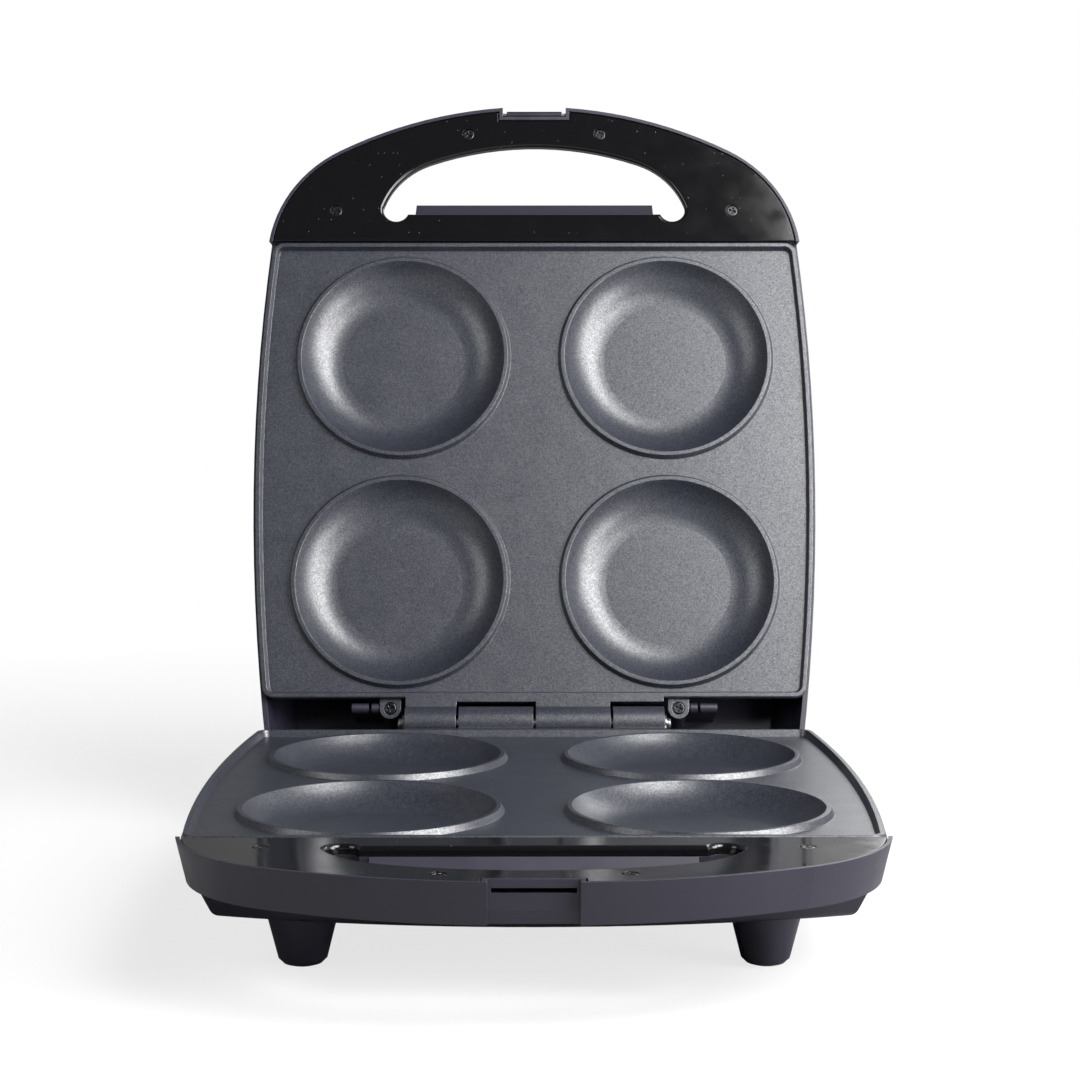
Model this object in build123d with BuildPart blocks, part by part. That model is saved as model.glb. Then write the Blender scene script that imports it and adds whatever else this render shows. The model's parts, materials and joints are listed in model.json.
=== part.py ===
from build123d import *
from math import atan, cos, radians, sin, sqrt, tan
import os

# An arepa maker: a base and a lid that are near copies of each other, joined by the
# knuckles cast on their two cooking plates, with a flap latch at the front.
# Each half is drawn in its own half frame: x across, y from the hinge-side edge of the
# plate towards the handle, z out of the cooking face, and z = 0 on the top of the rim.
# Lengths are in millimetres.

# Main sizes
plate_length = 227.0
plate_back_half = 125.6
plate_front_half = 127.4
plate_side_bow = 6.1
handle_reach = 72.7
handle_depth = 15.5
casing_depth = 35.0
foot_drop = 54.0
open_angle = 111.3
mating_gap = 0.5

# Cooking plate
rim_height = 3.0
rim_top = 2.2
rim_draft = 20.0
rim_edge = 0.5
plate_corner = 6.0
flange_thick = 4.0
plate_thick = 2.6
seat_inset = 2.2
cup_back_gap = 4.8
cup_row_gap = 7.8
cup_front_gap = 6.4
cup_spread = 0.15
cup_ring_width = 3.1
cup_ring_draft = 1.3
cup_crest_drop = 0.5
cup_depth = 10.5
cup_wall_run = 19.4
cup_wall_slope = 54.5
cup_under_margin = 4.0
tongue_x = 70.0
tongue_width = 16.0
tongue_reach = 6.0
tongue_thick = 2.4

# Hinge
hinge_back = 12.5
knuckle_radius = 8.0
knuckle_end = 59.6
knuckle_split = 35.45
knuckle_gap = 1.2
hinge_strip = 2.0
pin_radius = 2.5
pin_play = 0.05
pin_overhang = 3.2
clip_thick = 0.8
clip_radius = 4.2
clip_gap = 0.3

# Screw ears of the plate
ear_x = 66.7
ear_y = 4.6
ear_radius = 4.9
ear_drop = 2.6
ear_thick = 2.6
ear_recess = 0.8

# Screws
screw_radius = 1.6
screw_head_radius = 2.8
screw_head_height = 1.2
screw_length = 9.0
screw_play = 0.2
small_screw_radius = 1.3
small_head_radius = 2.6
small_head_height = 1.2
small_screw_length = 6.0
pilot_play = 0.05
pilot_spare = 1.0

# Casings
wall = 2.4
plate_margin = 1.1
band_draft = 13.0
belly_run = 8.7
belly_setback = 12.0
belly_front_bow = 18.0
belly_edge = 5.0
rear_corner = 7.0
base_back = 5.0
hood_clear = 1.4
hood_run = 7.0
hood_lip = 3.2
stop_from = 84.0
stop_side_gap = 9.6
hinge_wall_drop = 9.0
handle_overhang = 2.2
handle_corner_in = 33.6
handle_corner_drop = 24.0
handle_root = 14.0
handle_root_lean = 0.4
rim_width = 1.7
ledge_width = 2.7
seat_clear = 0.4
boss_radius = 4.2
ear_boss_height = 12.0
stub_radius = 2.4
stub_y = 4.1
stub_z = 5.0
stub_from = 72.2
stub_split = 75.4
stub_gap = 1.4
stub_to = 84.6
stub_neck = 0.6
hood_rib_thick = 1.8
hood_rib_spacing = 16.0
hood_rib_height = 8.0

# Handle cover and its finger opening
cover_thick = 2.2
cover_drop = 0.3
cover_gap = 0.4
cover_edge = 0.4
screw_recess = 1.3
cover_screw_outer_x = 97.0
cover_screw_outer_run = 16.8
cover_screw_inner_x = 32.5
cover_screw_tip_gap = 14.9
opening_half = 75.5
opening_side_run = 20.0
opening_back_run = 13.5
opening_tip_gap = 19.2
opening_arc_half = 52.0
opening_arc_rise = 9.0
opening_back_half = 62.0
collar_thick = 2.0
collar_round = 1.8
collar_depth = 1.2
opening_flare = 5.0
guard_half = 58.5
guard_reach = 12.5
guard_lip = 1.0

# Latch
notch_half = 15.6
notch_depth = 5.4
notch_lean = 1.2
notch_lean_from = 10.8
latch_width = 27.2
latch_thick = 2.2
latch_length = 13.6
latch_edge = 0.6
latch_pivot_in = 3.5
latch_pivot_drop = 2.3
latch_barrel_radius = 1.7
latch_pin_radius = 0.8
latch_pin_hold = 1.6
slot_top = 3.0
slot_height = 1.7
slot_margin = 0.8
hook_thick = 1.1
hook_reach = 2.6

# Feet
foot_side_gap = 39.1
foot_back_y = 18.0
foot_front_gap = 27.0
foot_top_radius = 13.8
foot_bottom_radius = 9.2
foot_edge = 1.8
foot_root = 1.5
pad_radius = 5.6
pad_thick = 1.6
pad_proud = 0.6

# Heater, clamps and reflector
rod_radius = 3.3
rod_gap = 0.1
rod_start = 7.0
rod_front_run = 19.4
rod_bend = 30.0
terminal_radius = 1.4
terminal_length = 5.0
clamp_width = 12.0
clamp_thick = 1.2
clamp_post_spacing = 24.0
clamp_post_radius = 3.6
clamp_overhang = 4.5
post_stub_radius = 1.8
post_stub_play = 0.1
post_stub_proud = 0.8
reflector_thick = 0.6
reflector_inset = 13.0
reflector_lip = 3.0
reflector_hole_radius = 15.0

# Thermostat and thermal fuse
thermostat_radius = 8.0
thermostat_height = 5.0
thermostat_body_radius = 6.4
thermostat_body_height = 4.5
tab_width = 5.0
tab_thick = 0.8
tab_length = 5.5
tab_spacing = 6.0
fuse_radius = 2.0
fuse_length = 20.0
fuse_lead_radius = 0.6
fuse_lead_length = 5.0
fuse_setback = 26.7
fuse_clip_width = 6.0
fuse_clip_thick = 0.8
fuse_clip_foot = 4.0

# Cord entry
gland_side_gap = 41.6
gland_drop = 23.0
gland_bore = 3.7
gland_body_radius = 5.6
gland_flange_radius = 7.4
gland_flange_thick = 2.2
gland_inner_radius = 6.6
gland_inner_length = 2.0
cord_clamp_y = 7.5
cord_clamp_width = 7.0
cord_clamp_half_span = 10.0
cord_clamp_thick = 2.0
cord_boss_radius = 3.2
terminal_block_x = 30.0
terminal_block_y = 22.0
terminal_block_length = 34.0
terminal_block_width = 15.0
terminal_block_height = 7.5
terminal_way_radius = 1.5
terminal_ways = 3

# Indicator lights
lens_spacing = 26.0
lens_front_gap = 31.0
lens_radius = 4.0
lens_flange_radius = 5.6
lens_flange_thick = 1.2
lens_dome = 1.4
lens_edge = 1.0
lamp_radius = 2.2
lamp_length = 12.0
lamp_gap = 0.3

# Sizes that follow from the ones above
lean = radians(open_angle - 90)
axis_z = mating_gap / 2
cup_ring_radius = (plate_length - cup_back_gap - cup_row_gap - cup_front_gap) / 4
cup_lip_radius = cup_ring_radius - cup_ring_width
cup_floor_radius = cup_lip_radius - cup_wall_run
cup_column = (plate_back_half + plate_front_half) / 4 + cup_spread
cup_row_back = cup_back_gap + cup_ring_radius
cup_row_front = plate_length - cup_front_gap - cup_ring_radius
ear_under_z = -(ear_drop + ear_thick)
floor_z = -(rim_height + plate_thick)
rim_foot = rim_top + rim_height * tan(radians(rim_draft))
crest_z = -cup_crest_drop
bowl_floor_z = crest_z - cup_depth
bowl_under_z = bowl_floor_z - plate_thick
rod_z = bowl_under_z - rod_gap - rod_radius
clamp_top_z = rod_z - rod_radius - rod_gap
reflector_top_z = clamp_top_z - clamp_thick
casing_floor_z = -casing_depth + wall
stub_rib_height = stub_neck - stub_z - stub_radius - casing_floor_z
handle_floor_z = -handle_depth + wall
cover_top_z = -cover_drop
cover_under_z = cover_top_z - cover_thick
collar_z = cover_under_z - collar_depth
row_mid_y = (cup_row_back + cup_row_front) / 2
rod_front = cup_row_front + rod_front_run
fuse_y = row_mid_y - fuse_setback
gland_x = plate_back_half - gland_side_gap
lens_y = plate_length - lens_front_gap
stop_to = plate_back_half - stop_side_gap
foot_x = plate_back_half - foot_side_gap
foot_front_y = plate_length - foot_front_gap
handle_end_half = plate_front_half + handle_overhang
handle_tip_y = plate_length + handle_reach
opening_side_y = plate_length + opening_side_run
opening_back = plate_length + opening_back_run
opening_front = handle_tip_y - opening_tip_gap
cover_back_y = plate_length + cover_gap
cross_wall_y = plate_length - seat_inset + seat_clear
notch_wall_y = handle_tip_y - notch_depth
pivot_y = handle_tip_y - latch_pivot_in
hood_back = hinge_back + knuckle_radius + hood_clear + wall
band_shrink = tan(radians(band_draft))
band_run = (handle_depth - flange_thick) * band_shrink
side_turn = atan((plate_front_half - plate_back_half) / plate_length)
side_radius = plate_length ** 2 / (8 * plate_side_bow) + plate_side_bow / 2
side_rise = side_radius - plate_side_bow
side_centre_x = (plate_front_half + plate_back_half) / 2 - side_rise * cos(side_turn)
side_centre_y = plate_length / 2 + side_rise * sin(side_turn)
knuckle_inner = knuckle_split - knuckle_gap / 2
knuckles = [(-knuckle_end, -knuckle_inner - knuckle_gap), (knuckle_gap / 2, knuckle_inner)]
cup_centres = [(side * cup_column, y) for y in (cup_row_back, cup_row_front) for side in (-1, 1)]
cover_screw_spots = [
    (-cover_screw_outer_x, plate_length + cover_screw_outer_run),
    (-cover_screw_inner_x, handle_tip_y - cover_screw_tip_gap),
    (cover_screw_inner_x, handle_tip_y - cover_screw_tip_gap),
    (cover_screw_outer_x, plate_length + cover_screw_outer_run),
]
ear_spots = [(-ear_x, -ear_y), (ear_x, -ear_y)]
foot_spots = [(side * foot_x, y) for y in (foot_back_y, foot_front_y) for side in (-1, 1)]
clamp_centres = [(-cup_column, row_mid_y), (cup_column, row_mid_y)]
clamp_posts = [
    (x + side * clamp_post_spacing / 2, y) for x, y in clamp_centres for side in (-1, 1)
]
lens_spots = [(-lens_spacing / 2, lens_y), (lens_spacing / 2, lens_y)]
cord_clamp_spots = [(gland_x + side * cord_clamp_half_span, cord_clamp_y) for side in (-1, 1)]

# Where the two halves stand: the base flat on its feet, the lid leaning back open.
# The origin is on the table, at the middle of the open object's length.
lid_back_reach = (handle_tip_y + hinge_back - handle_depth * band_shrink) * sin(lean)
lid_back_reach = lid_back_reach + handle_depth * cos(lean)
plate_edge_y = (handle_tip_y - hinge_back - lid_back_reach) / 2
hinge_point = (0, plate_edge_y + hinge_back, foot_drop + axis_z)
base_half = Plane(origin=(0, plate_edge_y, foot_drop), x_dir=(-1, 0, 0), z_dir=(0, 0, 1))
lid_facing = Vector(0, 0, -1).rotate(Axis.X, -open_angle)
lid_hinge = Plane(origin=hinge_point, x_dir=(1, 0, 0), z_dir=lid_facing)
lid_origin = lid_hinge.from_local_coords(Vector(0, hinge_back, -axis_z))
lid_half = Plane(origin=lid_origin, x_dir=(1, 0, 0), z_dir=lid_facing)


def side_x(y, inset):
    """Half width at y of an outline that follows the bowed side of the plate, drawn in."""
    return side_centre_x + sqrt((side_radius - inset) ** 2 - (y - side_centre_y) ** 2)


def outline(back, front, inset, bow=0.0):
    """Outline with the plate's bowed sides, a straight back and a front that may bow out."""
    middle = (back + front) / 2
    back_x = side_x(back, inset)
    middle_x = side_x(middle, inset)
    front_x = side_x(front, inset)
    with BuildSketch() as sketch:
        with BuildLine():
            ThreePointArc((-back_x, back), (-middle_x, middle), (-front_x, front))
            ThreePointArc((back_x, back), (middle_x, middle), (front_x, front))
            Line((-back_x, back), (back_x, back))
            if bow > 0:
                ThreePointArc((-front_x, front), (0, front + bow), (front_x, front))
            else:
                Line((-front_x, front), (front_x, front))
        make_face()
    return sketch.sketch


def plate_outline(inset):
    """Outline of the cooking plate with round corners, drawn in by an inset."""
    with BuildSketch() as sketch:
        add(outline(inset, plate_length - inset, inset))
        fillet(sketch.vertices(), plate_corner - inset)
    return sketch.sketch


def handle_outline(back, inset):
    """Outline of the handle: a wide front arc, a rounder arc at each side, a straight back."""
    tip = handle_tip_y - inset
    shoulder = (handle_end_half - handle_corner_in, tip - handle_corner_drop)
    end = (handle_end_half - inset, plate_length)
    back_half = end[0] - handle_root_lean * (plate_length - back)
    with BuildSketch() as sketch:
        with BuildLine():
            front = ThreePointArc((-shoulder[0], shoulder[1]), (0, tip), shoulder)
            TangentArc(front @ 1, end, tangent=front % 1)
            TangentArc(front @ 0, (-end[0], end[1]), tangent=-(front % 0))
            Polyline(end, (back_half, back), (-back_half, back), (-end[0], end[1]))
        make_face()
    return sketch.sketch


def opening_outline(grow, back_grow):
    """Outline of the finger opening: straight on the plate side, arched on the grip side.

    grow widens its arch and its ends, back_grow moves its straight side.
    """
    back = opening_back - back_grow
    tip = opening_front + grow
    shoulder = (opening_arc_half + grow / 2, tip - opening_arc_rise)
    side = (opening_half + grow, opening_side_y)
    with BuildSketch() as sketch:
        with BuildLine():
            top = ThreePointArc((-shoulder[0], shoulder[1]), (0, tip), shoulder)
            right = TangentArc(top @ 1, side, tangent=top % 1)
            left = TangentArc(top @ 0, (-side[0], side[1]), tangent=-(top % 0))
            right_end = TangentArc(right @ 1, (opening_back_half, back), tangent=right % 1)
            left_end = TangentArc(left @ 1, (-opening_back_half, back), tangent=left % 1)
            Line(right_end @ 1, left_end @ 1)
        make_face()
    return sketch.sketch


def notch_block(grow):
    """Rectangle of the latch notch, from its inner wall outwards, grown on three sides."""
    with BuildSketch() as sketch:
        with Locations((0, notch_wall_y - grow)):
            Rectangle(2 * (notch_half + grow), 3 * notch_depth, align=(Align.CENTER, Align.MIN))
    return sketch.sketch


def screw(head_radius, head_height, shank_radius, length):
    """A screw whose head stands on z = 0 and whose plain shank goes down."""
    with BuildPart() as piece:
        with BuildSketch():
            Circle(head_radius)
        extrude(amount=head_height)
        with BuildSketch():
            Circle(shank_radius)
        extrude(amount=-length)
    return piece.part


def stand(piece, spots, z):
    """Copies of one piece standing at several spots at height z."""
    with BuildPart() as group:
        with Locations([(x, y, z) for x, y in spots]):
            add(piece)
    return group.part


def pan(sections):
    """A pan lofted through outlines, each given as (z, back, front, inset, bow)."""
    with BuildPart() as form:
        for z, back, front, inset, bow in sections:
            with BuildSketch(Plane.XY.offset(z)):
                add(outline(back, front, inset, bow))
        loft(ruled=True)
    return form.part


def casing(back, back_run):
    """A casing half: pan, handle, finger opening with its guard, latch notch and bosses.

    back is how far the rear wall stands behind the plate, back_run how far it leans in.
    """
    side = -plate_margin
    belly_side = side + band_run
    belly_front = plate_length - belly_setback
    with BuildPart() as body:
        # Outer form: the band round the plate, the belly under it, and the handle
        add(pan([
            (-flange_thick, -back, cover_back_y, side, 0),
            (-handle_depth, -back, cover_back_y, belly_side, 0),
        ]))
        add(pan([
            (-handle_depth, -back, belly_front, belly_side, belly_front_bow),
            (-casing_depth, -back + back_run, belly_front - belly_run, belly_side + belly_run,
             belly_front_bow),
        ]))
        fillet(body.faces().sort_by(Axis.Z)[0].edges(), belly_edge)
        with BuildSketch():
            add(handle_outline(plate_length - handle_root, 0))
        extrude(amount=-handle_depth, taper=band_draft)
        with BuildSketch():
            with Locations((0, cover_back_y)):
                Rectangle(4 * plate_front_half, 2 * plate_length, align=(Align.CENTER, Align.MAX))
        extrude(amount=-flange_thick, mode=Mode.SUBTRACT)
        # Room for the plate, the heater and the reflector
        add(pan([
            (-flange_thick, wall - back, cross_wall_y, side + wall, 0),
            (-handle_depth, wall - back, cross_wall_y, belly_side + wall, 0),
        ]), mode=Mode.SUBTRACT)
        add(pan([
            (-handle_depth, wall - back, cross_wall_y - belly_setback, belly_side + wall, 0),
            (casing_floor_z, wall - back + back_run, cross_wall_y - belly_setback - belly_run,
             belly_side + belly_run + wall, 0),
        ]), mode=Mode.SUBTRACT)
        # Recess for the handle cover and the hollow under it
        with BuildSketch():
            add(handle_outline(cover_back_y, rim_width))
            add(notch_block(rim_width), mode=Mode.SUBTRACT)
        extrude(amount=cover_under_z, mode=Mode.SUBTRACT)
        with BuildSketch(Plane.XY.offset(cover_under_z)):
            add(handle_outline(cover_back_y + wall, rim_width + ledge_width))
            add(notch_block(wall), mode=Mode.SUBTRACT)
            add(opening_outline(opening_flare + wall, seat_clear + wall), mode=Mode.SUBTRACT)
        extrude(amount=handle_floor_z - cover_under_z, mode=Mode.SUBTRACT)
        # Finger opening: a seat for the cover's collar, then flared for the fingers
        with BuildSketch(Plane.XY.offset(cover_under_z)):
            add(opening_outline(seat_clear, seat_clear))
        extrude(amount=-collar_depth - seat_clear, mode=Mode.SUBTRACT)
        with BuildSketch(Plane.XY.offset(collar_z - seat_clear)):
            add(opening_outline(-collar_thick, -collar_thick))
        with BuildSketch(Plane.XY.offset(-handle_depth)):
            add(opening_outline(opening_flare, -collar_thick))
        loft(ruled=True, mode=Mode.SUBTRACT)
        # A sloping guard across the plate side of the opening
        with BuildSketch(Plane.YZ.offset(-guard_half)):
            with BuildLine():
                Polyline(
                    (opening_back, collar_z - seat_clear),
                    (opening_back + collar_thick, collar_z - seat_clear),
                    (opening_back + guard_reach, guard_lip - handle_depth),
                    (opening_back + guard_reach, -handle_depth),
                    (opening_back, -handle_depth),
                    close=True,
                )
            make_face()
        extrude(amount=2 * guard_half)
        # Bosses for the cover screws
        with BuildSketch(Plane.XY.offset(handle_floor_z)):
            with Locations(cover_screw_spots):
                Circle(boss_radius)
        extrude(amount=cover_under_z - handle_floor_z)
        with BuildSketch(Plane.XY.offset(cover_under_z)):
            with Locations(cover_screw_spots):
                Circle(screw_radius + pilot_play)
        extrude(amount=-screw_length, mode=Mode.SUBTRACT)
        # Latch notch, its lower wall leaning back
        with BuildSketch():
            add(notch_block(0))
        extrude(amount=-handle_depth, mode=Mode.SUBTRACT)
        with BuildSketch(Plane.YZ.offset(-notch_half)):
            with BuildLine():
                Polyline(
                    (notch_wall_y, -notch_lean_from),
                    (notch_wall_y, -handle_depth),
                    (notch_wall_y - notch_lean, -handle_depth),
                    close=True,
                )
            make_face()
        extrude(amount=2 * notch_half, mode=Mode.SUBTRACT)
        # Slots in the cross wall for the plate's two front tongues
        with BuildSketch(Plane.XY.offset(-flange_thick)):
            with Locations((-tongue_x, cross_wall_y), (tongue_x, cross_wall_y)):
                Rectangle(tongue_width + 2 * seat_clear, 2 * tongue_reach + 2 * seat_clear)
        extrude(amount=-tongue_thick - seat_clear, mode=Mode.SUBTRACT)
    return body.part


def cup_plate():
    """The cooking plate: rim, four cups, hinge knuckles, screw ears and mounting posts."""
    with BuildPart() as plate:
        # Rim flange and the floor inside it
        with BuildSketch():
            add(plate_outline(0))
        extrude(amount=-flange_thick)
        chamfer(plate.faces().sort_by(Axis.Z)[-1].edges(), rim_edge)
        with BuildSketch():
            with Locations((0, 0)):
                Rectangle(2 * knuckle_end, 2 * hinge_strip)
        extrude(amount=-flange_thick)
        with BuildSketch():
            add(plate_outline(seat_inset))
        extrude(amount=floor_z)
        with BuildSketch():
            add(plate_outline(rim_top))
        with BuildSketch(Plane.XY.offset(-rim_height)):
            add(plate_outline(rim_foot))
        loft(ruled=True, mode=Mode.SUBTRACT)
        # Cups: a raised ring with the bowl inside it, its wall a curve tangent to the flat floor
        for x, y in cup_centres:
            cup_plane = Plane(origin=(x, y, 0), x_dir=(1, 0, 0), z_dir=(0, -1, 0))
            cup_axis = Axis((x, y, 0), (0, 0, 1))
            with BuildSketch(cup_plane):
                with BuildLine():
                    Polyline(
                        (0, crest_z),
                        (cup_ring_radius - cup_ring_draft, crest_z),
                        (cup_ring_radius, -rim_height),
                        (cup_ring_radius - cup_ring_draft, floor_z),
                        (cup_floor_radius + cup_under_margin, bowl_under_z),
                        (0, bowl_under_z),
                        close=True,
                    )
                make_face()
            revolve(axis=cup_axis)
            with BuildSketch(cup_plane):
                with BuildLine():
                    Bezier(
                        (cup_floor_radius, bowl_floor_z),
                        (cup_lip_radius - cup_depth / tan(radians(cup_wall_slope)), bowl_floor_z),
                        (cup_lip_radius, crest_z),
                    )
                    Polyline(
                        (cup_lip_radius, crest_z),
                        (cup_lip_radius, 0),
                        (0, 0),
                        (0, bowl_floor_z),
                        (cup_floor_radius, bowl_floor_z),
                    )
                make_face()
            revolve(axis=cup_axis, mode=Mode.SUBTRACT)
        # Knuckles, which alternate with those of the other plate on one pin
        for start, end in knuckles:
            with BuildSketch(Plane.YZ.offset(start)):
                with Locations((-hinge_back, axis_z)):
                    Circle(knuckle_radius)
                with Locations((-hinge_back, 0)):
                    Rectangle(hinge_back, flange_thick, align=(Align.MIN, Align.MAX))
            extrude(amount=end - start)
        with BuildSketch(Plane.YZ.offset(-knuckle_end)):
            with Locations((-hinge_back, axis_z)):
                Circle(pin_radius + pin_play)
        extrude(amount=2 * knuckle_end, mode=Mode.SUBTRACT)
        # Screw ears beside the hinge, below the level of the rim
        with BuildSketch(Plane.XY.offset(-ear_drop)):
            for x, y in ear_spots:
                with Locations((x, y)):
                    Circle(ear_radius)
                    Rectangle(2 * ear_radius, ear_y + seat_inset, align=(Align.CENTER, Align.MIN))
        extrude(amount=-ear_thick)
        with BuildSketch(Plane.XY.offset(-ear_drop)):
            with Locations(ear_spots):
                Circle(screw_head_radius + screw_play)
        extrude(amount=-ear_recess, mode=Mode.SUBTRACT)
        with BuildSketch(Plane.XY.offset(-ear_drop)):
            with Locations(ear_spots):
                Circle(screw_radius + screw_play)
        extrude(amount=-ear_thick, mode=Mode.SUBTRACT)
        # Tongues that hook through the casing's cross wall at the handle side
        with BuildSketch(Plane.XY.offset(-flange_thick)):
            with Locations((-tongue_x, plate_length), (tongue_x, plate_length)):
                Rectangle(tongue_width, 2 * (tongue_reach - seat_inset))
        extrude(amount=-tongue_thick)
        # Posts under the floor, stepped down to the stubs that hold the clamps and the reflector
        with BuildSketch(Plane.XY.offset(floor_z)):
            with Locations(clamp_posts):
                Circle(clamp_post_radius)
        extrude(amount=clamp_top_z - floor_z)
        with BuildSketch(Plane.XY.offset(clamp_top_z)):
            with Locations(clamp_posts):
                Circle(post_stub_radius)
        extrude(amount=-clamp_thick - reflector_thick - post_stub_proud)
    return plate.part


def handle_cover():
    """The gloss cover set in the handle, with a collar that lines the finger opening."""
    with BuildPart() as cover:
        with BuildSketch(Plane.XY.offset(cover_top_z)):
            add(handle_outline(cover_back_y + seat_clear, rim_width + seat_clear))
            add(notch_block(rim_width + seat_clear), mode=Mode.SUBTRACT)
        extrude(amount=-cover_thick)
        chamfer(cover.faces().sort_by(Axis.Z)[-1].edges(), cover_edge)
        with BuildSketch(Plane.XY.offset(cover_top_z)):
            add(opening_outline(0, 0))
        extrude(amount=-cover_thick - collar_depth)
        with BuildSketch(Plane.XY.offset(cover_top_z)):
            add(opening_outline(-collar_thick, -collar_thick))
        extrude(amount=-cover_thick - collar_depth, mode=Mode.SUBTRACT)
        fillet(cover.faces().sort_by(Axis.Z)[-1].inner_wires()[0].edges(), collar_round)
        with BuildSketch(Plane.XY.offset(cover_top_z)):
            with Locations(cover_screw_spots):
                Circle(screw_head_radius + screw_play)
        extrude(amount=-screw_recess, mode=Mode.SUBTRACT)
        with BuildSketch(Plane.XY.offset(cover_top_z)):
            with Locations(cover_screw_spots):
                Circle(screw_radius + screw_play)
        extrude(amount=-cover_thick, mode=Mode.SUBTRACT)
    return cover.part


def heater():
    """A sheathed rod bent into a U that runs under both rows of cups, with two end pins."""
    with BuildPart() as rod:
        with BuildLine():
            FilletPolyline(
                (-cup_column, rod_start, rod_z),
                (-cup_column, rod_front, rod_z),
                (cup_column, rod_front, rod_z),
                (cup_column, rod_start, rod_z),
                radius=rod_bend,
            )
        with BuildSketch(Plane(origin=(-cup_column, rod_start, rod_z), z_dir=(0, 1, 0))):
            Circle(rod_radius)
        sweep()
        with BuildSketch(Plane(origin=(0, rod_start, rod_z), x_dir=(1, 0, 0), z_dir=(0, -1, 0))):
            with Locations((-cup_column, 0), (cup_column, 0)):
                Circle(terminal_radius)
        extrude(amount=terminal_length)
    return rod.part


def heater_clamps():
    """Two straps, each across a pair of posts with the heater rod above it."""
    with BuildPart() as straps:
        with BuildSketch(Plane.XY.offset(clamp_top_z)):
            for x, y in clamp_centres:
                with Locations((x, y)):
                    Rectangle(clamp_post_spacing + 2 * clamp_overhang, clamp_width)
            with Locations(clamp_posts):
                Circle(post_stub_radius + post_stub_play, mode=Mode.SUBTRACT)
        extrude(amount=-clamp_thick)
    return straps.part


def reflector():
    """A thin pressed tray under the clamps, with a turned-down lip and a thermostat hole."""
    front = plate_length - reflector_inset - belly_setback
    inner = reflector_inset + reflector_thick
    with BuildPart() as tray:
        with BuildSketch(Plane.XY.offset(reflector_top_z)):
            add(outline(reflector_inset, front, reflector_inset))
        extrude(amount=-reflector_thick - reflector_lip)
        with BuildSketch(Plane.XY.offset(reflector_top_z - reflector_thick)):
            add(outline(inner, front - reflector_thick, inner))
        extrude(amount=-reflector_lip, mode=Mode.SUBTRACT)
        with BuildSketch(Plane.XY.offset(reflector_top_z)):
            with Locations((0, row_mid_y)):
                Circle(reflector_hole_radius)
            with Locations(clamp_posts):
                Circle(post_stub_radius + post_stub_play)
        extrude(amount=-reflector_thick, mode=Mode.SUBTRACT)
    return tray.part


def thermostat():
    """A disc thermostat against the plate's underside, with two flat terminals."""
    body_z = floor_z - thermostat_height
    tab_z = body_z - thermostat_body_height
    with BuildPart() as switch:
        with BuildSketch(Plane.XY.offset(floor_z)):
            with Locations((0, row_mid_y)):
                Circle(thermostat_radius)
        extrude(amount=-thermostat_height)
        with BuildSketch(Plane.XY.offset(body_z)):
            with Locations((0, row_mid_y)):
                Circle(thermostat_body_radius)
        extrude(amount=-thermostat_body_height)
        with BuildSketch(Plane.XY.offset(tab_z)):
            with Locations((-tab_spacing / 2, row_mid_y), (tab_spacing / 2, row_mid_y)):
                Rectangle(tab_thick, tab_width)
        extrude(amount=-tab_length)
    return switch.part


case_screw = screw(screw_head_radius, screw_head_height, screw_radius, screw_length)
small_screw = screw(small_head_radius, small_head_height, small_screw_radius, small_screw_length)
plate_casting = cup_plate()
cover_moulding = handle_cover()
rod_bent = heater()
straps_pressed = heater_clamps()
tray_pressed = reflector()
thermostat_disc = thermostat()

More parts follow.
